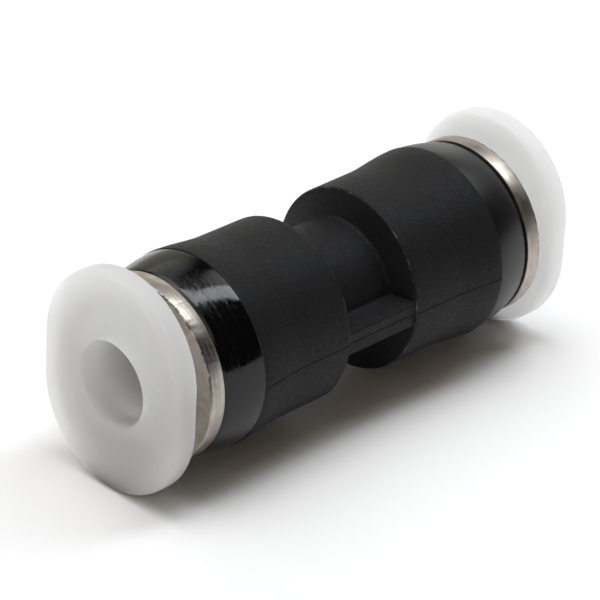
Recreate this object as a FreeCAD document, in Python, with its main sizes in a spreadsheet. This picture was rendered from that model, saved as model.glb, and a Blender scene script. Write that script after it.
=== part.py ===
import FreeCAD, Part
import math
import os
import Sketcher

# Straight push-in union for 6 mm tube. The axis runs along X, the origin is at the middle of the
# fitting on its axis, and Z is up. Each end holds the same five-piece cartridge: lip seal, spacer,
# lock claw, guide ring and release ring. Sizes are in millimetres, and angles in degrees.

os.makedirs("parts", exist_ok=True)
doc = FreeCAD.newDocument("straight_push_in_fitting")

SIZES = {
    # tube and flow way
    "tube_diameter": 6.0,
    "insertion_depth": 16.85,
    "passage_diameter": 4.4,
    # clearances, all radial or end to end
    "tube_clearance": 0.09,
    "socket_clearance": 0.12,
    "seat_clearance": 0.03,
    "running_clearance": 0.06,
    # moulded body, outside
    "body_length": 30.1,
    "mouth_diameter": 13.2,
    "bulge_diameter": 14.2,
    "barrel_diameter": 13.4,
    "polished_length": 3.3,
    "polish_step": 0.06,
    "bulge_land": 0.75,
    "swell_length": 3.6,
    "waist_length": 6.6,
    "waist_wall_run": 0.65,
    "neck_diameter": 9.6,
    "barrel_edge_bevel": 0.2,
    "mouth_edge_bevel": 0.12,
    "rib_thickness": 1.86,
    "rib_inset": 0.12,
    "rib_edge_bevel": 0.1,
    # moulded body, inside
    "cartridge_diameter": 11.0,
    "cartridge_depth": 6.1,
    "seal_bore_diameter": 9.3,
    "seal_depth": 2.45,
    "mouth_chamfer": 0.2,
    "stop_chamfer": 0.25,
    # lip seal
    "seal_grip": 0.06,
    "seal_heel": 1.1,
    "seal_heel_gap": 0.35,
    "seal_leg": 0.42,
    "seal_groove_depth": 0.95,
    "seal_lip_land": 0.3,
    # spacer
    "spacer_length": 2.0,
    "spacer_bore_gap": 0.2,
    "tooth_flex_gap": 0.5,
    # lock claw
    "claw_thickness": 0.3,
    "claw_rim_width": 0.65,
    "claw_angle": 30.0,
    "claw_grip": 0.06,
    "claw_teeth": 8,
    "claw_slot_width": 0.5,
    "claw_slot_root": 0.45,
    # guide ring
    "collar_length": 1.25,
    "collar_edge_bevel": 0.1,
    "lip_length": 2.2,
    "lip_chamfer": 0.25,
    "barb_count": 2,
    "barb_length": 1.1,
    "barb_height": 0.18,
    # release ring
    "release_travel": 1.1,
    "release_gap": 0.15,
    "flange_thickness": 1.8,
    "flange_height": 16.2,
    "flange_width": 13.2,
    "foot_width": 4.0,
    "foot_corner_radius": 1.0,
    "flange_face_bevel": 0.45,
    "flange_back_bevel": 0.12,
    "stem_wall": 1.1,
    "bead_height": 0.35,
    "bead_length": 1.0,
    "bead_lead": 0.6,
    "nose_land": 0.35,
    "nose_gap": 0.12,
    "bore_entry_bevel": 0.4,
}

sheet = doc.addObject("Spreadsheet::Sheet", "sizes")
for row, (name, value) in enumerate(SIZES.items(), start=1):
    sheet.set(f"A{row}", name)
    sheet.set(f"B{row}", str(value))
    sheet.setAlias(f"B{row}", name)
doc.recompute()

# Places along the axis, from the middle of the fitting outwards to one end
BODY_END = "(sizes.body_length / 2)"
COLLAR_FACE = f"({BODY_END} + sizes.collar_length)"
FLANGE_BACK = f"({COLLAR_FACE} + sizes.release_travel + sizes.release_gap)"
FLANGE_FACE = f"({FLANGE_BACK} + sizes.flange_thickness)"
TUBE_STOP = f"({FLANGE_FACE} - sizes.insertion_depth)"
CARTRIDGE_SEAT = f"({BODY_END} - sizes.cartridge_depth)"
SEAL_SEAT = f"({CARTRIDGE_SEAT} - sizes.seal_depth)"
SPACER_FACE = f"({CARTRIDGE_SEAT} + sizes.spacer_length)"
CLAW_BACK = f"({SPACER_FACE} + sizes.running_clearance)"
CLAW_FACE = f"({CLAW_BACK} + sizes.claw_thickness)"
GUIDE_BACK = f"({CLAW_FACE} + sizes.running_clearance)"
LIP_BACK = f"({COLLAR_FACE} - sizes.lip_length)"
BEAD_FACE = f"({LIP_BACK} - sizes.running_clearance)"
WAIST_EDGE = "(sizes.waist_length / 2)"
POLISH_EDGE = f"({BODY_END} - sizes.polished_length)"
BULGE_START = f"({POLISH_EDGE} - sizes.bulge_land)"
SWELL_START = f"({BULGE_START} - sizes.swell_length)"

# Radii
TUBE_R = "(sizes.tube_diameter / 2)"
RING_BORE_R = f"({TUBE_R} + sizes.tube_clearance)"
STEM_R = f"({RING_BORE_R} + sizes.stem_wall)"
NOSE_R = f"({RING_BORE_R} + sizes.nose_land)"
BEAD_R = f"({STEM_R} + sizes.bead_height)"
LIP_R = f"({STEM_R} + sizes.running_clearance)"
GUIDE_BORE_R = f"({BEAD_R} + sizes.running_clearance)"
CARTRIDGE_R = "(sizes.cartridge_diameter / 2)"
SEATED_R = f"({CARTRIDGE_R} - sizes.seat_clearance)"
CLAW_RIM_R = f"({CARTRIDGE_R} - sizes.running_clearance)"
CLAW_ROOT_R = f"({CLAW_RIM_R} - sizes.claw_rim_width)"
CLAW_TIP_R = f"({TUBE_R} - sizes.claw_grip)"
CLAW_SLOPE = "tan(sizes.claw_angle * 1deg)"
MOUTH_R = "(sizes.mouth_diameter / 2)"
BULGE_R = "(sizes.bulge_diameter / 2)"
BARREL_R = "(sizes.barrel_diameter / 2)"


def number(expression):
    return float(sheet.evalExpression(expression))


def minus(expression):
    return f"-({expression})"


def both_ends(half):
    """Adds the mirror image of an outline that is drawn from the middle out to one end."""
    return [(minus(x), radius) for x, radius in reversed(half)] + half


def new_body(label):
    return doc.addObject("PartDesign::Body", label)


def new_sketch(body, name, role, offset="0"):
    """An empty sketch on one of the body's own planes, moved along the plane's normal."""
    sketch = body.newObject("Sketcher::SketchObject", name)
    plane = next(item for item in body.Origin.OriginFeatures if item.Role == role)
    sketch.AttachmentSupport = [(plane, "")]
    sketch.MapMode = "FlatFace"
    sketch.setExpression("AttachmentOffset.Base.z", offset)
    return sketch


def arc_between(start, end, centre_x):
    """The shorter arc from start to end about a centre that lies at centre_x."""
    rise = end.y - start.y
    reach = (end.x - centre_x) ** 2 - (start.x - centre_x) ** 2
    centre = FreeCAD.Vector(centre_x, (start.y + end.y + reach / rise) / 2, 0)
    middle = (start + end) / 2 - centre
    middle.normalize()
    return Part.Arc(start, centre + middle * start.distanceToPoint(centre), end)


def draw(sketch, corners):
    """A closed outline. A corner is its two coordinates, as expressions in the sizes, and a third
    one where the edge that leaves it is an arc: the first coordinate of the arc's centre."""
    points = [FreeCAD.Vector(number(x), number(y), 0) for x, y, *_ in corners]
    ends = []
    for index, (x, y, *centre) in enumerate(corners):
        start, end = points[index], points[(index + 1) % len(points)]
        if centre:
            edge = sketch.addGeometry(arc_between(start, end, number(centre[0])))
            bind(sketch, "DistanceX", edge, 3, centre[0])
        else:
            edge = sketch.addGeometry(Part.LineSegment(start, end))
        starts_here = sketch.getPoint(edge, 1).distanceToPoint(start) < 1e-6
        ends.append((edge, 1, 2) if starts_here else (edge, 2, 1))
        bind(sketch, "DistanceX", edge, ends[-1][1], x)
        bind(sketch, "DistanceY", edge, ends[-1][1], y)
    for (edge, _, last), (following, first, _) in zip(ends, ends[1:] + ends[:1]):
        sketch.addConstraint(Sketcher.Constraint("Coincident", edge, last, following, first))


def bind(sketch, kind, edge, point, expression):
    """Ties one coordinate of a point to the sizes."""
    row = sketch.addConstraint(Sketcher.Constraint(kind, -1, 1, edge, point, number(expression)))
    sketch.setExpression(f"Constraints[{row}]", expression)


def turned(body, name, corners, kind="PartDesign::Revolution"):
    """A turned form, or a turned cut with kind Groove: the outline holds x and radius."""
    sketch = new_sketch(body, name + "_outline", "XY_Plane")
    draw(sketch, corners)
    feature = body.newObject(kind, name)
    feature.Profile = sketch
    feature.ReferenceAxis = (sketch, ["H_Axis"])
    feature.Angle = 360
    doc.recompute()
    return feature


def ring_edges(shape, x, radius):
    """Names of the circular edges about the axis, at x on either side of the middle."""
    names = []
    for index, edge in enumerate(shape.Edges, start=1):
        box = edge.BoundBox
        at_x = abs(abs(box.Center.x) - x) < 1e-4 and box.XLength < 1e-4
        round_edge = isinstance(edge.Curve, Part.Circle) and abs(edge.Curve.Radius - radius) < 1e-4
        if at_x and round_edge:
            names.append(f"Edge{index}")
    return names


def bevelled(body, name, base, edges, size):
    feature = body.newObject("PartDesign::Chamfer", name)
    feature.Base = (base, edges)
    feature.setExpression("Size", size)
    doc.recompute()
    return feature


def moulded_body():
    """Two barrels on a necked waist, moulded in one, with the stepped sockets of both cartridges."""
    body = new_body("body")
    half = [
        (f"{WAIST_EDGE} - sizes.waist_wall_run", "sizes.neck_diameter / 2"),
        (WAIST_EDGE, BARREL_R),
        (SWELL_START, BARREL_R),
        (BULGE_START, BULGE_R),
        (POLISH_EDGE, BULGE_R),
        (POLISH_EDGE, f"{BULGE_R} - sizes.polish_step"),
        (BODY_END, MOUTH_R),
        (BODY_END, "0"),
    ]
    form = turned(body, "outer_form", both_ends(half))
    edge_x, edge_r = number(WAIST_EDGE), number(BARREL_R)
    form = bevelled(body, "barrel_edges", form, ring_edges(form.Shape, edge_x, edge_r),
                    "sizes.barrel_edge_bevel")
    end_x, end_r = number(BODY_END), number(MOUTH_R)
    bevelled(body, "mouth_edges", form, ring_edges(form.Shape, end_x, end_r),
             "sizes.mouth_edge_bevel")
    side_ribs(body)
    stepped_sockets(body)
    return body


def side_ribs(body):
    """One flat bar on the parting plane, which shows as a rib on each side of the neck."""
    sketch = new_sketch(body, "rib_outline", "XY_Plane")
    reach_x = f"({WAIST_EDGE} + sizes.barrel_edge_bevel)"
    reach_y = f"({BARREL_R} - sizes.rib_inset)"
    draw(sketch, [
        (minus(reach_x), minus(reach_y)),
        (reach_x, minus(reach_y)),
        (reach_x, reach_y),
        (minus(reach_x), reach_y),
    ])
    ribs = body.newObject("PartDesign::Pad", "ribs")
    ribs.Profile = sketch
    ribs.Midplane = True
    ribs.setExpression("Length", "sizes.rib_thickness")
    doc.recompute()
    edges = []
    for index, edge in enumerate(ribs.Shape.Edges, start=1):
        box = edge.BoundBox
        along_x = isinstance(edge.Curve, Part.Line) and box.YLength < 1e-4 and box.ZLength < 1e-4
        if along_x and abs(abs(box.Center.y) - number(reach_y)) < 1e-4:
            edges.append(f"Edge{index}")
    bevelled(body, "rib_edges", ribs, edges, "sizes.rib_edge_bevel")


def stepped_sockets(body):
    """Passage, tube socket, seal bore and cartridge bore, cut as one turned form for both ends."""
    socket_r = f"({TUBE_R} + sizes.socket_clearance)"
    seal_r = "(sizes.seal_bore_diameter / 2)"
    half = [
        (TUBE_STOP, "sizes.passage_diameter / 2"),
        (TUBE_STOP, socket_r),
        (f"{SEAL_SEAT} - sizes.stop_chamfer", socket_r),
        (SEAL_SEAT, f"{socket_r} + sizes.stop_chamfer"),
        (SEAL_SEAT, seal_r),
        (CARTRIDGE_SEAT, seal_r),
        (CARTRIDGE_SEAT, CARTRIDGE_R),
        (f"{BODY_END} - sizes.mouth_chamfer", CARTRIDGE_R),
        (BODY_END, f"{CARTRIDGE_R} + sizes.mouth_chamfer"),
        (BODY_END, "0"),
    ]
    turned(body, "sockets", both_ends(half), "PartDesign::Groove")


def lip_seal(label):
    """A moulded ring with a heel against the spacer and a lip that leans towards the pressure."""
    body = new_body(label)
    front = f"({SEAL_SEAT} + sizes.running_clearance)"
    outer_r = "(sizes.seal_bore_diameter / 2 - sizes.seat_clearance)"
    lip_r = f"({TUBE_R} - sizes.seal_grip)"
    heel_r = f"({TUBE_R} + sizes.seal_heel_gap)"
    turned(body, label + "_section", [
        (CARTRIDGE_SEAT, outer_r),
        (front, outer_r),
        (front, f"{outer_r} - sizes.seal_leg"),
        (f"{front} + sizes.seal_groove_depth", f"({outer_r} + {lip_r}) / 2"),
        (front, f"{lip_r} + sizes.seal_leg"),
        (front, lip_r),
        (f"{front} + sizes.seal_lip_land", lip_r),
        (f"{CARTRIDGE_SEAT} - sizes.seal_heel", heel_r),
        (CARTRIDGE_SEAT, heel_r),
    ])
    return body


def spacer(label):
    """A stiff ring, dished under the teeth so that they have room to flex."""
    body = new_body(label)
    bore_r = f"({TUBE_R} + sizes.spacer_bore_gap)"
    dish = f"({SPACER_FACE} - sizes.tooth_flex_gap)"
    turned(body, label + "_section", [
        (CARTRIDGE_SEAT, bore_r),
        (CARTRIDGE_SEAT, SEATED_R),
        (SPACER_FACE, SEATED_R),
        (SPACER_FACE, CLAW_ROOT_R),
        (dish, CLAW_ROOT_R),
        (f"{dish} - ({CLAW_ROOT_R} - {bore_r}) * {CLAW_SLOPE}", bore_r),
    ])
    return body


def lock_claw(label):
    """A stamped ring: a flat rim, and teeth that lean inwards, parted by round-rooted slots."""
    body = new_body(label)
    drop = f"({CLAW_ROOT_R} - {CLAW_TIP_R}) * {CLAW_SLOPE}"
    turned(body, label + "_dish", [
        (CLAW_BACK, CLAW_RIM_R),
        (CLAW_FACE, CLAW_RIM_R),
        (CLAW_FACE, CLAW_ROOT_R),
        (f"{CLAW_FACE} - {drop}", CLAW_TIP_R),
        (f"{CLAW_BACK} - {drop}", CLAW_TIP_R),
        (CLAW_BACK, CLAW_ROOT_R),
    ])
    sketch = new_sketch(body, label + "_slot_outline", "YZ_Plane", GUIDE_BACK)
    half_width = "(sizes.claw_slot_width / 2)"
    root_r = f"({CLAW_ROOT_R} - sizes.claw_slot_root)"
    draw(sketch, [
        ("0", minus(half_width)),
        (root_r, minus(half_width)),
        (f"{root_r} + {half_width}", "0"),
        (root_r, half_width),
        ("0", half_width),
    ])
    slot = body.newObject("PartDesign::Pocket", label + "_slot")
    slot.Profile = sketch
    slot.Type = "ThroughAll"
    doc.recompute()
    teeth = body.newObject("PartDesign::PolarPattern", label + "_teeth")
    teeth.Originals = [slot]
    teeth.Axis = (sketch, ["N_Axis"])
    teeth.Angle = 360
    teeth.setExpression("Occurrences", "sizes.claw_teeth")
    body.Tip = teeth
    doc.recompute()
    return body


def guide_ring(label):
    """A turned brass ring: a collar over the body's end and a barbed sleeve pressed into it."""
    body = new_body(label)
    valley_r = f"({SEATED_R} - sizes.barb_height)"
    outline = [(GUIDE_BACK, GUIDE_BORE_R), (GUIDE_BACK, valley_r)]
    for barb in range(int(SIZES["barb_count"])):
        crest = f"{GUIDE_BACK} + sizes.barb_length * {barb + 1}"
        outline += [(crest, SEATED_R), (crest, valley_r)]
    outline += [
        (BODY_END, valley_r),
        (BODY_END, MOUTH_R),
        (COLLAR_FACE, MOUTH_R),
        (COLLAR_FACE, f"{LIP_R} + sizes.lip_chamfer"),
        (f"{COLLAR_FACE} - sizes.lip_chamfer", LIP_R),
        (LIP_BACK, LIP_R),
        (LIP_BACK, GUIDE_BORE_R),
    ]
    ring = turned(body, label + "_section", outline)
    face_x, collar_r = number(COLLAR_FACE), number(MOUTH_R)
    bevelled(body, label + "_edge", ring, ring_edges(ring.Shape, face_x, collar_r),
             "sizes.collar_edge_bevel")
    return body


def release_ring(label):
    """The white push ring: a racetrack flange, and a stem whose bead snaps in behind the lip."""
    body = new_body(label)
    flange = racetrack_flange(body, label)
    nose = f"({CLAW_FACE} - ({CLAW_ROOT_R} - {NOSE_R}) * {CLAW_SLOPE} + sizes.release_travel" \
           " + sizes.nose_gap)"
    turned(body, label + "_stem", [
        (nose, "0"),
        (nose, NOSE_R),
        (f"{nose} + ({STEM_R} - {NOSE_R}) * {CLAW_SLOPE}", STEM_R),
        (f"{BEAD_FACE} - sizes.bead_length", STEM_R),
        (f"{BEAD_FACE} - sizes.bead_length + sizes.bead_lead", BEAD_R),
        (BEAD_FACE, BEAD_R),
        (BEAD_FACE, STEM_R),
        (FLANGE_BACK, STEM_R),
        (FLANGE_BACK, "0"),
    ])
    bore = turned(body, label + "_bore", [
        (nose, "0"),
        (nose, RING_BORE_R),
        (FLANGE_FACE, RING_BORE_R),
        (FLANGE_FACE, "0"),
    ], "PartDesign::Groove")
    face_x, bore_r = number(FLANGE_FACE), number(RING_BORE_R)
    entry = bevelled(body, label + "_entry", bore, ring_edges(bore.Shape, face_x, bore_r),
                     "sizes.bore_entry_bevel")
    front = bevelled(body, label + "_face", entry, outline_edges(entry.Shape, face_x),
                     "sizes.flange_face_bevel")
    bevelled(body, label + "_back", front, outline_edges(front.Shape, number(FLANGE_BACK)),
             "sizes.flange_back_bevel")
    return body


def racetrack_flange(body, label):
    """Straight sides joined by half rounds, each blended into a small flat foot."""
    sketch = new_sketch(body, label + "_flange_outline", "YZ_Plane", FLANGE_BACK)
    side, top = "(sizes.flange_width / 2)", "(sizes.flange_height / 2)"
    foot = "(sizes.foot_width / 2)"
    reach = f"({side} - sizes.foot_corner_radius)"
    rise = f"sqrt({reach} ^ 2 - {foot} ^ 2)"
    side_top = f"({top} - sizes.foot_corner_radius - {rise})"
    blend = (f"({side} * {foot} / {reach})", f"({side_top} + {side} * {rise} / {reach})")
    right_half = [
        (minus(foot), minus(top)),
        (foot, minus(top), foot),
        (blend[0], minus(blend[1]), "0"),
        (side, minus(side_top)),
        (side, side_top, "0"),
        (*blend, foot),
    ]
    left_half = [(minus(y), minus(z), *map(minus, centre)) for y, z, *centre in right_half]
    draw(sketch, right_half + left_half)
    flange = body.newObject("PartDesign::Pad", label + "_flange")
    flange.Profile = sketch
    flange.setExpression("Length", "sizes.flange_thickness")
    doc.recompute()
    return flange


def outline_edges(shape, x):
    """Names of the edges of the flange's outline that lie in the plane at x."""
    names = []
    inside = number(f"{STEM_R} + sizes.flange_back_bevel")
    for index, edge in enumerate(shape.Edges, start=1):
        box = edge.BoundBox
        middle = edge.valueAt((edge.FirstParameter + edge.LastParameter) / 2)
        if abs(box.Center.x - x) < 1e-4 and box.XLength < 1e-4 and math.hypot(*middle[1:]) > inside:
            names.append(f"Edge{index}")
    return names


def checked(parts):
    """Stops if a feature failed, or if a piece is not one sound solid."""
    failed = [item.Name for item in doc.Objects if {"Invalid", "Error"} & set(item.State)]
    if failed:
        raise RuntimeError("failed features: " + ", ".join(failed))
    for part in parts:
        shape = part.Shape
        if shape.isNull() or not shape.isValid() or len(shape.Solids) != 1:
            raise RuntimeError(part.Label + " is not one sound solid")


# The cartridge pieces, and how far each end's set is turned about Z
CARTRIDGE = {
    "seal": lip_seal,
    "spacer": spacer,
    "lock_claw": lock_claw,
    "guide_ring": guide_ring,
    "release_ring": release_ring,
}
ENDS = {"front": 180, "rear": 0}

pieces = [moulded_body()]
for end, turn in ENDS.items():
    for piece, make in CARTRIDGE.items():
        part = make(f"{end}_{piece}")
        part.Placement = FreeCAD.Placement(FreeCAD.Vector(), FreeCAD.Rotation(turn, 0, 0))
        pieces.append(part)
doc.recompute()
checked(pieces)
for part in pieces:
    part.Shape.exportStep(f"parts/{part.Label}.step")
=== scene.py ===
import math
import bpy
import numpy as np
from mathutils import Matrix, Vector


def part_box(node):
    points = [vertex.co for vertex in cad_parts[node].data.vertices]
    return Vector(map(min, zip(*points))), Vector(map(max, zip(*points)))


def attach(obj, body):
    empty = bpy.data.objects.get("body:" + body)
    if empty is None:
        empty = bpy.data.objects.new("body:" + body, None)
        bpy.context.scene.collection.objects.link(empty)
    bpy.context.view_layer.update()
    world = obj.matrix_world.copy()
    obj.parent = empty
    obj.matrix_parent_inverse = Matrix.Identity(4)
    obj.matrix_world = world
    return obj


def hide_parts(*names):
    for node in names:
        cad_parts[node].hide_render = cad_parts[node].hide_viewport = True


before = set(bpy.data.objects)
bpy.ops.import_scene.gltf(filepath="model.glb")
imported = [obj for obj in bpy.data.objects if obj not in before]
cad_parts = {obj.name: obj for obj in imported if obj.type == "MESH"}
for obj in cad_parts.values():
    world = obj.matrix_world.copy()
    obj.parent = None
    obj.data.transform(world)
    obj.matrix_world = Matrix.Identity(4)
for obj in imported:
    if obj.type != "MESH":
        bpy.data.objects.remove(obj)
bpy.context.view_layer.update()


# The moulded body. One black nylon moulding: two barrels with stepped sockets, joined by a necked
# waist with a rib on either side. The mould leaves it grained, and polished at either mouth.

MM = 0.001
body_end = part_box("body")[1].x
bulge_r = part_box("body")[1].z
mouth_r = 6.47 * MM
mouth_edge = 0.40 * MM
mouth_edge_run = 0.45 * MM
mouth_roll = 1.7
waist_half = 3.3 * MM
waist_wall_run = 0.65 * MM
wall_root = 0.22 * MM
wall_edge = 0.16 * MM
wall_share = 0.4
neck_r = 4.8 * MM
barrel_r = 6.74 * MM
barrel_rise = 0.02 * MM
swell_from = 7.4 * MM
swell_to = 11.8 * MM
polish_from = 11.75 * MM
polish_step = 0.05 * MM
rib_reach = 6.58 * MM
rib_half = 0.93 * MM
rib_edge = 0.10 * MM
rib_root = 0.30 * MM
rib_line_height = 0.74 * MM
groove_depth = 0.035 * MM
groove_half = 0.045 * MM
cartridge_r = 5.50 * MM
cartridge_seat = 8.95 * MM
seal_bore_r = 4.65 * MM
seal_seat = 6.50 * MM
tube_bore_r = 3.12 * MM
tube_stop = 2.50 * MM
passage_r = 2.20 * MM
mouth_chamfer = 0.20 * MM
stop_chamfer = 0.25 * MM
crease_degrees = 32


class Wire:
    """One output of a shader node. Python's signs do sums with it, as Math nodes."""

    def __init__(self, finish, socket):
        self.finish = finish
        self.socket = socket

    def sum(self, operation, *values):
        return self.finish.add("Math", {"operation": operation}, dict(enumerate(values)))

    def __add__(self, other):
        return self.sum("ADD", self, other)

    def __sub__(self, other):
        return self.sum("SUBTRACT", self, other)

    def __rsub__(self, other):
        return self.sum("SUBTRACT", other, self)

    def __mul__(self, other):
        return self.sum("MULTIPLY", self, other)

    def __abs__(self):
        return self.sum("ABSOLUTE", self)

    __radd__ = __add__
    __rmul__ = __mul__


class Finish:
    """The nodes of one material or world. add makes any node: its settings, then its sockets."""

    def __init__(self, owner):
        owner.use_nodes = True
        self.owner = owner
        self.nodes = owner.node_tree.nodes
        self.links = owner.node_tree.links
        self.nodes.clear()

    def add(self, kind, settings, sockets, out=0):
        node = self.nodes.new("ShaderNode" + kind)
        for name, value in settings.items():
            setattr(node, name, value)
        for name, value in sockets.items():
            if isinstance(value, Wire):
                self.links.new(value.socket, node.inputs[name])
            else:
                node.inputs[name].default_value = value
        return Wire(self, node.outputs[out]) if node.outputs else None

    def place(self):
        """The point on the piece, in metres."""
        return self.add("TexCoord", {}, {}, out="Object")

    def to_rear(self):
        """How far the point is from the middle of the fitting, less than 0 on the front half."""
        return self.add("SeparateXYZ", {}, {0: self.place()})

    def along_axis(self):
        """How far the point is from the middle of the fitting, to either end."""
        return abs(self.to_rear())

    def off_axis(self):
        """How far the point is from the axis of the fitting."""
        flat = self.stretched((0.0, 1.0, 1.0))
        return self.add("VectorMath", {"operation": "LENGTH"}, {0: flat}, out=1)

    def stretched(self, scale):
        """The point on the piece, with each axis scaled apart, for grain that runs one way."""
        return self.add("VectorMath", {"operation": "MULTIPLY"}, {0: self.place(), 1: scale})

    def noise(self, vector, scale, detail=2.0, roughness=0.5):
        return self.add("TexNoise", {}, {"Vector": vector, "Scale": scale, "Detail": detail,
                                         "Roughness": roughness})

    def spread(self, value, low, high):
        """0 where the value is at low, 1 where it is at high, and smooth between."""
        return self.add("MapRange", {"interpolation_type": "SMOOTHSTEP"},
                        {"Value": value, "From Min": low, "From Max": high})

    def blend(self, factor, first, second):
        return self.add("Mix", {"data_type": "RGBA"}, {0: factor, 6: first, 7: second}, out=2)

    def bump(self, height, distance, strength):
        return self.add("Bump", {}, {"Height": height, "Distance": distance, "Strength": strength})

    def surface(self, shader):
        self.add("OutputMaterial", {}, {"Surface": shader})
        return self.owner


def grained_black():
    """Fine grain, pale flecks painted in to stand in for glints and given a glossy coat, and a
    painted highlight in patches along the edge where each barrel meets the waist.
    """
    finish = Finish(bpy.data.materials.new("grained_black_nylon"))
    grain = finish.noise(finish.place(), 5600.0, 3.0, 0.8)
    # Pale flecks painted into the colour stand in for glints; the same flecks also get a glossy coat
    # that catches the light.
    fleck = finish.spread(finish.noise(finish.place(), 6200.0, 2.0, 0.6), 0.53, 0.74)
    cloud = finish.noise(finish.place(), 900.0, 3.0)
    black = finish.blend(cloud, (0.0034, 0.0035, 0.0041, 1), (0.0070, 0.0071, 0.0081, 1))
    black_with_painted_glints = finish.blend(fleck, black, (0.0095, 0.0095, 0.0115, 1))
    # Painted highlight: a lighter colour in patches along each barrel's waist edge, which is also a
    # little glossier there.
    on_edge = finish.spread(abs(finish.along_axis() - waist_half), 0.08 * MM, 0.03 * MM)
    on_edge = on_edge * finish.spread(finish.off_axis(), barrel_r - 0.12 * MM, barrel_r - 0.03 * MM)
    edge_highlight = on_edge * finish.spread(finish.noise(finish.place(), 900.0, 4.0, 0.6), 0.46, 0.66)
    return finish.surface(finish.add("BsdfPrincipled", {}, {
        "Base Color": finish.blend(edge_highlight, black_with_painted_glints, (0.10, 0.10, 0.105, 1)),
        "Roughness": 0.56 - 0.16 * edge_highlight,
        "Specular IOR Level": 0.18,
        "Coat Weight": 0.32 * fleck,
        "Coat Roughness": 0.34,
        "Coat IOR": 1.35,
        "Normal": finish.bump(grain, 0.10 * MM, 0.6),
    }))


def polished_black():
    """Bright at the front mouth, with fine turning marks and pits, and satin at the rear one."""
    finish = Finish(bpy.data.materials.new("polished_black_nylon"))
    marks = finish.noise(finish.stretched((5600.0, 60.0, 60.0)), 1.0, 2.0, 0.7)
    lines = finish.spread(marks, 0.45, 0.57)
    specks = finish.noise(finish.stretched((6500.0, 3000.0, 3000.0)), 1.0, 2.0, 0.7)
    pitted = finish.spread(specks, 0.46, 0.62)
    satin = finish.spread(finish.to_rear(), -MM, MM)
    turned = 1.0 - 0.9 * satin
    return finish.surface(finish.add("BsdfPrincipled", {}, {
        "Base Color": (0.0028, 0.0028, 0.0031, 1),
        "Roughness": 0.04 + (0.12 * lines + 0.12 * pitted) * turned + 0.30 * satin,
        "Specular IOR Level": 0.38,
        "Normal": finish.bump((marks + 0.6 * specks) * turned, 0.011 * MM, 0.6),
    }))


def skin(name, rows, materials, material_of_row=None):
    """A closed mesh of quads. Each row goes once around, and the last row joins the first."""
    points = np.array(rows).transpose(0, 2, 1)
    count, around = points.shape[:2]
    here = np.arange(around)
    following = (here + 1) % around
    faces = []
    for row in range(count):
        a, b = row * around, (row + 1) % count * around
        faces.append(np.stack([a + here, a + following, b + following, b + here], axis=1))
    mesh = bpy.data.meshes.new(name)
    mesh.from_pydata(points.reshape(-1, 3).tolist(), [], np.concatenate(faces).tolist())
    for material in materials:
        mesh.materials.append(material)
    if material_of_row:
        mesh.polygons.foreach_set("material_index", np.repeat(material_of_row, around))
    mesh.shade_smooth()
    mesh.set_sharp_from_angle(angle=math.radians(crease_degrees))
    piece = bpy.data.objects.new(name, mesh)
    bpy.context.scene.collection.objects.link(piece)
    return piece


def rounding(start, corner, end, steps):
    """Points on the curve that rounds a corner, from start to end."""
    return [(1 - t) ** 2 * start + 2 * t * (1 - t) * corner + t * t * end
            for t in np.linspace(0, 1, steps + 1)]


def smooth(t):
    t = np.clip(t, 0, 1)
    return t * t * (3 - 2 * t)


def waist_section():
    """The waist's outline from a rib's middle up to the top: (across, up, line depth) points."""
    root_y = math.sqrt(neck_r ** 2 - rib_half ** 2)
    face = [(rib_reach, up, 0.0) for up in np.linspace(groove_half * 2, rib_half - rib_edge, 9)]
    lines = [(rib_reach, 0.0, groove_depth), (rib_reach, groove_half, 0.0)]
    for side in (-1, 0, 1):
        lines.append((rib_reach, rib_line_height + side * groove_half, groove_depth * (side == 0)))
    outer = sorted(lines + [p for p in face if abs(p[1] - rib_line_height) > groove_half * 1.5],
                   key=lambda point: point[1])
    corner = rounding(np.array([rib_reach, rib_half - rib_edge, 0]),
                      np.array([rib_reach, rib_half, 0]),
                      np.array([rib_reach - rib_edge, rib_half, 0]), 4)
    top = [(y, rib_half, 0.0) for y in np.linspace(rib_reach - rib_edge, root_y + rib_root, 6)]
    past = math.asin(rib_half / neck_r) + rib_root / neck_r
    on_neck = np.array([neck_r * math.cos(past), neck_r * math.sin(past), 0])
    inner = rounding(np.array(top[-1]), np.array([root_y, rib_half, 0]), on_neck, 4)
    neck = [(neck_r * math.cos(a), neck_r * math.sin(a), 0.0)
            for a in np.linspace(past, math.pi / 2, 52)[1:]]
    return np.array(outer + corner[1:] + top[1:] + inner[1:] + neck)


# The quarter is mirrored to go all round. parting is how deep the mould's line is at each turn, and
# above adds the line along the upper half of each rib.
quarter = waist_section()
angle = np.arctan2(quarter[:, 1], quarter[:, 0])
floor_r = np.hypot(quarter[:, 0], quarter[:, 1])
depth = quarter[:, 2]
parting = np.where(quarter[:, 1] < groove_half / 2, depth, 0.0)
turns = np.concatenate([angle, math.pi - angle[-2::-1],
                        math.pi + angle[1:], 2 * math.pi - angle[-2:0:-1]])
waist_r = np.concatenate([floor_r, floor_r[-2::-1], floor_r[1:], floor_r[-2:0:-1]])
parting = np.concatenate([parting, parting[-2::-1], parting[1:], parting[-2:0:-1]])
above = np.concatenate([depth, depth[-2::-1], parting[len(depth) * 2 - 1:]])
cosines, sines = np.cos(turns), np.sin(turns)


def ring_row(x, radius):
    """One row around the body, where x and radius are the same all round or given per turn."""
    x = np.broadcast_to(x, turns.shape)
    return np.array([x, radius * cosines, radius * sines])


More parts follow.
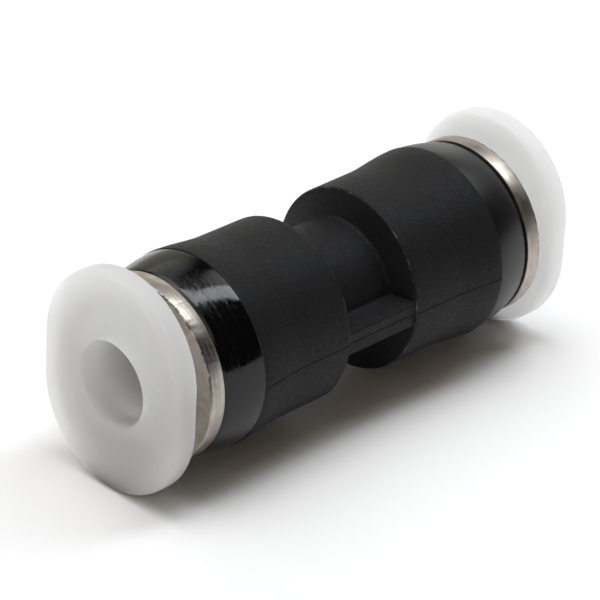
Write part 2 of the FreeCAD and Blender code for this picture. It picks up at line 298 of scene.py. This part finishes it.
def waist_rows():
    """From the middle of the waist, over the root's and the barrel's rounded edges, to the barrel."""
    wall_rise = barrel_r - neck_r
    root = np.array([waist_half - waist_wall_run * (barrel_r - waist_r) / wall_rise, waist_r])
    top = np.array([np.full_like(waist_r, waist_half), np.full_like(waist_r, barrel_r)])
    length = np.hypot(*(top - root))
    along = (top - root) / length
    low = np.minimum(wall_root, wall_share * length)
    high = np.minimum(wall_edge, wall_share * length)
    right = np.array([[1.0], [0.0]])
    straight = [np.array([root[0] * share, waist_r]) for share in (0.0, 0.3, 0.6, 0.85)]
    spots = straight + rounding(root - right * low, root, root + along * low, 4)
    spots += rounding(top - along * high, top, top + right * high, 4)
    rows = []
    for place, (x, radius) in enumerate(spots):
        line = above if place <= len(straight) else parting
        rows.append(ring_row(x, radius - line))
    return rows


def barrel_radius(x):
    lift = barrel_rise * smooth((x - waist_half) / (swell_from - waist_half))
    swell = (bulge_r - barrel_r - barrel_rise) * smooth((x - swell_from) / (swell_to - swell_from))
    return barrel_r + lift + swell


def polished_radius(x):
    share = (x - polish_from) / (body_end - polish_from)
    start = bulge_r - polish_step
    return start - (start - mouth_r) * share ** mouth_roll


def moulded_body():
    rows = waist_rows()
    barrel_start, barrel_stop = waist_half + 0.4 * MM, polish_from - 0.05 * MM
    for x in np.linspace(barrel_start, barrel_stop, 30):
        rows.append(ring_row(x, barrel_radius(x) - parting))
    rows.append(ring_row(polish_from, bulge_r - 0.01 * MM))
    grained = len(rows) - 1
    edge_start = body_end - mouth_edge_run
    for x in np.linspace(polish_from + 0.02 * MM, edge_start, 20):
        rows.append(ring_row(x, polished_radius(x)))
    for x, radius in rounding(np.array([edge_start, polished_radius(edge_start)]),
                              np.array([body_end, mouth_r]),
                              np.array([body_end, mouth_r - mouth_edge]), 7)[1:]:
        rows.append(ring_row(x, radius))
    polished = len(rows)
    socket = [(body_end, cartridge_r + mouth_chamfer), (body_end - mouth_chamfer, cartridge_r),
              (cartridge_seat, cartridge_r), (cartridge_seat, seal_bore_r),
              (seal_seat, seal_bore_r), (seal_seat, tube_bore_r + stop_chamfer),
              (seal_seat - stop_chamfer, tube_bore_r),
              (tube_stop, tube_bore_r), (tube_stop, passage_r)]
    for x, radius in socket:
        rows.append(ring_row(x, radius))
    mirror = np.array([[-1.0], [1.0], [1.0]])
    rows += [row * mirror for row in reversed(rows[1:])]
    half = [0] * grained + [1] * (polished - grained) + [0] * len(socket)
    material_of_row = half + half[-2::-1]
    material_of_row = material_of_row + [0] * (len(rows) - len(material_of_row))
    return skin("moulded_body", rows, [grained_black(), polished_black()], material_of_row)


body = moulded_body()
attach(body, "housing")
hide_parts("body")


# The lip seals. Black nitrile rubber, each moulded in one piece. One lies at the foot of either
# socket, where the spacer holds it in, and its thin lip closes on the tube.

def dress(piece, material):
    piece.data.materials.clear()
    piece.data.materials.append(material)


def nitrile_rubber():
    finish = Finish(bpy.data.materials.new("nitrile_rubber"))
    dust = finish.noise(finish.place(), 3000.0, 3.0)
    return finish.surface(finish.add("BsdfPrincipled", {}, {
        "Base Color": finish.blend(dust, (0.010, 0.010, 0.010, 1), (0.022, 0.022, 0.022, 1)),
        "Roughness": 0.55 + 0.2 * dust,
        "Normal": finish.bump(dust, 0.01 * MM, 0.4),
    }))


ends = ("front", "rear")
rubber = nitrile_rubber()
for end in ends:
    dress(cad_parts[f"{end}_seal"], rubber)


# The spacers. Natural, off-white plastic rings, moulded. Each is pushed in after its seal, backs it,
# and seats the lock claw, whose teeth have room to swing in its hollow front.

def natural_plastic():
    finish = Finish(bpy.data.materials.new("natural_plastic"))
    cloud = finish.noise(finish.place(), 900.0, 2.0)
    return finish.surface(finish.add("BsdfPrincipled", {}, {
        "Base Color": finish.blend(cloud, (0.56, 0.54, 0.49, 1), (0.64, 0.62, 0.57, 1)),
        "Roughness": 0.42 + 0.12 * cloud,
    }))


spacer_plastic = natural_plastic()
for end in ends:
    dress(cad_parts[f"{end}_spacer"], spacer_plastic)


# The lock claws. Rings of inclined teeth, stamped from stainless spring sheet. The rim of each is
# held loosely between the spacer and the guide ring's sleeve, and its teeth bite into the tube.

def stamped_steel():
    finish = Finish(bpy.data.materials.new("stamped_spring_steel"))
    rolled = finish.noise(finish.stretched((900.0, 9000.0, 900.0)), 1.0, 3.0)
    return finish.surface(finish.add("BsdfPrincipled", {}, {
        "Base Color": (0.60, 0.59, 0.57, 1),
        "Metallic": 1.0,
        "Roughness": 0.22 + 0.16 * rolled,
        "Normal": finish.bump(rolled, 0.004 * MM, 0.4),
    }))


steel = stamped_steel()
for end in ends:
    dress(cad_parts[f"{end}_lock_claw"], steel)


# The guide rings. Turned brass, nickel plated: a collar over each mouth and a barbed sleeve that
# is pressed into the body. The cut-off tool leaves the collar's front edge ragged on one side.

sleeve_back, collar_face = (corner.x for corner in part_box("rear_guide_ring"))
collar_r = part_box("rear_guide_ring")[1].z
collar_edge = 0.10 * MM
sleeve_bore_r = 4.60 * MM
sleeve_r = 5.47 * MM
barb_valley_r = 5.29 * MM
barb_length = 1.1 * MM
barb_drop = 0.001 * MM
lip_r = 4.25 * MM
lip_back = 14.10 * MM
lip_lead = 0.25 * MM
lip_entry = 0.10 * MM
ragged_cut = {"front": 0.040 * MM, "rear": 0.012 * MM}
ragged_side = Vector((0.0, -0.5, 0.866))
ring_points = 288


def nickel_plate():
    """Plated metal with turning marks, chipped along the ragged side of the collar's front edge."""
    finish = Finish(bpy.data.materials.new("nickel_plated_brass"))
    cut = finish.noise(finish.stretched((6500.0, 250.0, 250.0)), 1.0, 3.0, 0.7)
    hatch = finish.noise(finish.stretched((2500.0, 5000.0, 5000.0)), 1.0, 2.0)
    dull = finish.noise(finish.place(), 1100.0, 4.0, 0.6)
    lines = finish.spread(0.6 * cut + 0.4 * dull, 0.40, 0.60)
    tone = finish.blend(lines, (0.37, 0.335, 0.295, 1), (0.47, 0.43, 0.385, 1))
    rim = finish.spread(finish.along_axis(), collar_face - 0.20 * MM, collar_face - 0.07 * MM)
    rim = rim * finish.spread(finish.off_axis(), collar_r - 0.16 * MM, collar_r - 0.05 * MM)
    toward = finish.add("VectorMath", {"operation": "DOT_PRODUCT"},
                        {0: finish.place(), 1: ragged_side}, out=1)
    rim = rim * finish.spread(toward, 0.25 * collar_r, 0.85 * collar_r)
    chipped = rim * finish.spread(finish.noise(finish.place(), 1500.0, 4.0, 0.6), 0.42, 0.56)
    return finish.surface(finish.add("BsdfPrincipled", {}, {
        "Base Color": finish.blend(chipped, tone, (0.10, 0.085, 0.07, 1)),
        "Metallic": 1.0,
        "Roughness": 0.42 - 0.12 * lines + 0.10 * chipped,
        "Normal": finish.bump(cut + 0.6 * hatch, 0.016 * MM, 0.7),
    }))


def half_turn(row):
    """The same row on the front end, half a turn about the upright axis."""
    return row * np.array([[-1.0], [-1.0], [1.0]])


def ragged_edge(end, turn):
    """How far the collar's front edge is cut back at each turn, most on its ragged side."""
    wave = sum(np.sin(turn * lobes + lobes ** 2) / (k + 2)
               for k, lobes in enumerate((7, 13, 29, 47, 71, 97, 118)))
    side = -1.0 if end == "front" else 1.0
    toward = ragged_side.y * side * np.cos(turn) + ragged_side.z * np.sin(turn)
    return ragged_cut[end] * np.abs(wave * (0.10 + 0.90 * smooth((toward - 0.2) / 0.6)))


def guide_ring(end):
    turn = np.arange(ring_points) * 2 * math.pi / ring_points

    def circle_row(x, radius):
        x = np.broadcast_to(x, turn.shape)
        return np.array([x, radius * np.cos(turn), radius * np.sin(turn)])

    spots = [(sleeve_back, sleeve_bore_r), (sleeve_back, barb_valley_r)]
    for barb in (1, 2):
        crest = sleeve_back + barb * barb_length
        spots += [(crest, sleeve_r), (crest + barb_drop, barb_valley_r)]
    spots += [(body_end, barb_valley_r), (body_end, collar_r - collar_edge)]
    spots += rounding(np.array([body_end, collar_r - collar_edge]), np.array([body_end, collar_r]),
                      np.array([body_end + collar_edge / 2, collar_r]), 3)[1:]
    rows = [circle_row(x, r) for x, r in spots]
    front = rounding(np.array([collar_face - collar_edge, collar_r]),
                     np.array([collar_face, collar_r]),
                     np.array([collar_face, collar_r - collar_edge]), 4)
    for place, (x, r) in enumerate(front):
        cut = ragged_edge(end, turn) * math.sin(math.pi * (place + 1) / (len(front) + 1))
        rows.append(circle_row(x - cut, r - cut))
    for x, r in ((collar_face, lip_r + lip_lead + lip_entry),
                 (collar_face - lip_entry, lip_r + lip_lead),
                 (collar_face - lip_lead, lip_r), (lip_back, lip_r), (lip_back, sleeve_bore_r)):
        rows.append(circle_row(x, r))
    if end == "front":
        rows = [half_turn(row) for row in rows]
    return skin(f"{end}_nickel_ring", rows, [nickel])


nickel = nickel_plate()
for end in ends:
    ring = guide_ring(end)
    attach(ring, "housing")
    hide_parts(f"{end}_guide_ring")


# The release rings. Milky white acetal, moulded: a thick racetrack flange with soft edges, and a
# stem whose bead snaps in behind the guide ring's lip. Pushing one in spreads its claw.

nose_x, flange_face = (corner.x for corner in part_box("rear_release_ring"))
flange_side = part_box("rear_release_ring")[1].y
flange_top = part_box("rear_release_ring")[1].z
flange_thickness = 1.8 * MM
flange_back = flange_face - flange_thickness
lit_from, lit_to = flange_back - 0.9 * MM, flange_back + 0.4 * MM
face_edge = 0.60 * MM
back_edge = 0.32 * MM
bore_entry = 0.30 * MM
ring_bore_r = 3.09 * MM
stem_r = 4.19 * MM
stem_root = 0.35 * MM
bead_r = 4.54 * MM
bead_face = 14.04 * MM
bead_length = 1.0 * MM
bead_land = 0.4 * MM
bead_edge = 0.06 * MM
nose_r = 3.44 * MM
nose_lead = 0.433 * MM


def milky_acetal():
    """Light comes through the flange, and not through the stem, which the body keeps dark."""
    finish = Finish(bpy.data.materials.new("milky_acetal"))
    flow = finish.noise(finish.place(), 420.0, 3.0)
    pores = finish.noise(finish.place(), 5200.0, 2.0)
    bump = finish.bump(flow + 0.2 * pores, 0.03 * MM, 0.35)

    def acetal_of(tone, reach):
        return finish.add("BsdfPrincipled", {}, {
            "Base Color": finish.blend(flow, (tone - 0.03, tone - 0.02, tone - 0.01, 1),
                                       (tone + 0.01, tone + 0.02, tone + 0.03, 1)),
            "Roughness": 0.34 + 0.1 * flow,
            "Subsurface Weight": 1.0,
            "Subsurface Radius": (1.0, 1.0, 1.0),
            "Subsurface Scale": reach,
            "IOR": 1.48,
            "Specular IOR Level": 0.12,
            "Normal": bump,
        })

    lit = finish.spread(finish.along_axis(), lit_from, lit_to)
    stem, flange = acetal_of(0.95, 1.0 * MM), acetal_of(0.885, 22.0 * MM)
    return finish.surface(finish.add("MixShader", {}, {0: lit, 1: stem, 2: flange}))


def racetrack():
    """The flange's outline and its outward normals: a half round at either end, and two sides."""
    straight = flange_top - flange_side
    arc = np.linspace(0, math.pi, 97)
    side = np.linspace(-straight, straight, 15)[1:-1]
    level, outward = np.zeros_like(side), np.ones_like(side)
    across = [flange_side * np.cos(arc), -flange_side * outward,
              -flange_side * np.cos(arc), flange_side * outward]
    up = [straight + flange_side * np.sin(arc), -side, -straight - flange_side * np.sin(arc), side]
    normal_y = [np.cos(arc), -outward, -np.cos(arc), outward]
    normal_z = [np.sin(arc), level, -np.sin(arc), level]
    return (np.array([np.concatenate(across), np.concatenate(up)]),
            np.array([np.concatenate(normal_y), np.concatenate(normal_z)]))


def release_ring(end):
    outline, normal = racetrack()
    turn = np.arctan2(outline[1], outline[0])
    circle = np.array([np.cos(turn), np.sin(turn)])
    quarter_turn = math.pi / 2
    rows = []

    def add_row(x, points):
        rows.append(np.concatenate([np.full((1, points.shape[1]), x), points]))

    for x, r in ((nose_x, ring_bore_r), (nose_x, nose_r), (nose_x + nose_lead, stem_r),
                 (bead_face - bead_length, stem_r), (bead_face - bead_land, bead_r),
                 (bead_face - bead_edge, bead_r), (bead_face, bead_r - bead_edge),
                 (bead_face, stem_r), (flange_back - stem_root, stem_r)):
        add_row(x, circle * r)
    for a in np.linspace(0, quarter_turn, 6)[1:]:
        add_row(flange_back - stem_root + stem_root * math.sin(a),
                circle * (stem_r + stem_root - stem_root * math.cos(a)))
    inner, outer = circle * (stem_r + stem_root), outline - normal * back_edge
    for share in (0.35, 0.7, 1.0):
        add_row(flange_back, inner + (outer - inner) * share)
    for a in np.linspace(0, quarter_turn, 5)[1:]:
        add_row(flange_back + back_edge - back_edge * math.cos(a),
                outline - normal * back_edge * (1 - math.sin(a)))
    for a in np.linspace(0, quarter_turn, 10):
        add_row(flange_face - face_edge + face_edge * math.sin(a),
                outline - normal * face_edge * (1 - math.cos(a)))
    outer, inner = outline - normal * face_edge, circle * (ring_bore_r + bore_entry)
    for share in (0.25, 0.5, 0.75):
        add_row(flange_face, outer + (inner - outer) * share)
    for a in np.linspace(0, quarter_turn, 8):
        add_row(flange_face - bore_entry + bore_entry * math.cos(a),
                circle * (ring_bore_r + bore_entry - bore_entry * math.sin(a)))
    if end == "front":
        rows = [half_turn(row) for row in rows]
    return skin(f"{end}_white_ring", rows, [acetal])


acetal = milky_acetal()
for end in ends:
    ring = release_ring(end)
    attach(ring, f"{end}_release")
    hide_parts(f"{end}_release_ring")


# The studio. A white sheet that the fitting stands on, inside a tent of soft light. A round lamp
# hangs overhead and a soft box high on the right, whose edge shows in the polished front mouth.

floor_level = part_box("rear_release_ring")[0].z
floor_half = 4.0
fade_from, fade_to = 0.03, 0.16
lamp_distance = 0.6
patch_core = 0.4
plain, cool, warm = (1, 1, 1, 1), (0.90, 0.92, 1, 1), (1, 0.96, 0.79, 1)
# Each patch of the tent: its azimuth, elevation and width in degrees, its tone and its strength.
tent_patches = (
    (60, 86, 32, cool, 0.51),
    (110, 60, 26, (0.965, 0.98, 1, 1), 1.76),
    (155, 60, 26, plain, 1.58),
    (72, 42, 22, plain, 0.83),
    (216, 42, 24, (1, 0.83, 0.61, 1), 1.08),
    (60, 4, 40, warm, 0.57),
    (30, 15, 22, plain, 0.94),
    (0, 42, 20, plain, 0.95),
    (10, 54, 15, plain, 1.20),
    (338, 30, 16, warm, 0.15),
)


def white_paper():
    """Paper that takes the shadow, and is seen as plain white farther from the fitting."""
    finish = Finish(bpy.data.materials.new("white_sheet"))
    away = finish.add("VectorMath", {"operation": "LENGTH"}, {0: finish.place()}, out=1)
    camera_ray, glossy_ray, through_ray = (
        finish.add("LightPath", {}, {}, out=f"Is {kind} Ray")
        for kind in ("Camera", "Glossy", "Transmission"))
    seen = finish.add("Math", {"operation": "ADD", "use_clamp": True},
                      {0: camera_ray, 1: glossy_ray + through_ray})
    fade = finish.spread(away, fade_from, fade_to) * seen
    fibres = finish.noise(finish.place(), 1400.0, 4.0, 0.65)
    paper = finish.blend(fibres, (0.915, 0.915, 0.915, 1), (0.945, 0.945, 0.945, 1))
    sheet = finish.add("BsdfPrincipled", {}, {
        "Base Color": paper,
        "Roughness": 1.0,
        "Specular IOR Level": 0.0,
    })
    glow = finish.add("Emission", {}, {"Color": plain, "Strength": 1.0})
    return finish.surface(finish.add("MixShader", {}, {0: fade, 1: sheet, 2: glow}))


def white_sheet():
    mesh = bpy.data.meshes.new("white_sheet")
    corners = [(x * floor_half, y * floor_half, floor_level)
               for x, y in ((-1, -1), (1, -1), (1, 1), (-1, 1))]
    mesh.from_pydata(corners, [], [(0, 1, 2, 3)])
    mesh.materials.append(white_paper())
    sheet = bpy.data.objects.new("white_sheet", mesh)
    bpy.context.scene.collection.objects.link(sheet)
    return sheet


def aim(azimuth, elevation):
    a, e = math.radians(azimuth), math.radians(elevation)
    return Vector((math.cos(a) * math.cos(e), math.sin(a) * math.cos(e), math.sin(e)))


def light_tent():
    """Patches of light on a dark sky, each at full strength in its core and fading out around it."""
    finish = Finish(bpy.data.worlds.new("light_tent"))
    ray = finish.add("TexCoord", {}, {}, out="Generated")
    tent = None
    for azimuth, elevation, width, tone, strength in tent_patches:
        near = finish.add("VectorMath", {"operation": "DOT_PRODUCT"},
                          {0: ray, 1: aim(azimuth, elevation)}, out=1)
        rim, core = math.cos(math.radians(width)), math.cos(math.radians(width * patch_core))
        share = finish.spread(near, rim, core)
        patch = finish.add("Background", {}, {"Color": tone, "Strength": share * strength})
        tent = finish.add("AddShader", {}, {0: tent, 1: patch}) if tent else patch
    finish.add("OutputWorld", {}, {"Surface": tent})
    return finish.owner


def soft_box(name, azimuth, elevation, width, height, shape, tone, radiance):
    lamp = bpy.data.lights.new(name, "AREA")
    lamp.shape = shape
    lamp.color = tone
    lamp.size, lamp.size_y = width, height
    area = width * height * (math.pi / 4 if shape == "DISK" else 1)
    lamp.energy = radiance * math.pi * area
    holder = bpy.data.objects.new(name, lamp)
    holder.location = aim(azimuth, elevation) * lamp_distance
    holder.rotation_euler = holder.location.to_track_quat("Z", "Y").to_euler()
    bpy.context.scene.collection.objects.link(holder)


white_sheet()
bpy.context.scene.world = light_tent()
soft_box("overhead_lamp", azimuth=0, elevation=90, width=0.277, height=0.277, shape="DISK",
         tone=(1, 1, 1), radiance=5.6)
soft_box("right_lamp", azimuth=-21, elevation=63, width=0.15, height=0.32, shape="RECTANGLE",
         tone=(0.90, 0.95, 1), radiance=6.7)


# The camera. A long lens that looks down at the front ring. The fitting leans back a little about
# its axis in the photograph, so the camera leans with it.

camera_azimuth, camera_elevation = -135.40, 26.31
camera_spot = Vector((-0.16500, -0.16138, 0.11360))
camera_lean = Matrix.Rotation(math.radians(-4.0), 3, "X")
camera_back = aim(camera_azimuth, camera_elevation).to_track_quat("Z", "Y").to_matrix()
camera = bpy.data.objects.new("camera", bpy.data.cameras.new("camera"))
camera.data.lens = 221.9
camera.data.sensor_width = 36.0
camera.location = camera_lean @ camera_spot
camera.rotation_euler = (camera_lean @ camera_back).to_euler()
bpy.context.scene.collection.objects.link(camera)
bpy.context.scene.camera = camera
bpy.context.scene.view_settings.view_transform = "Standard"
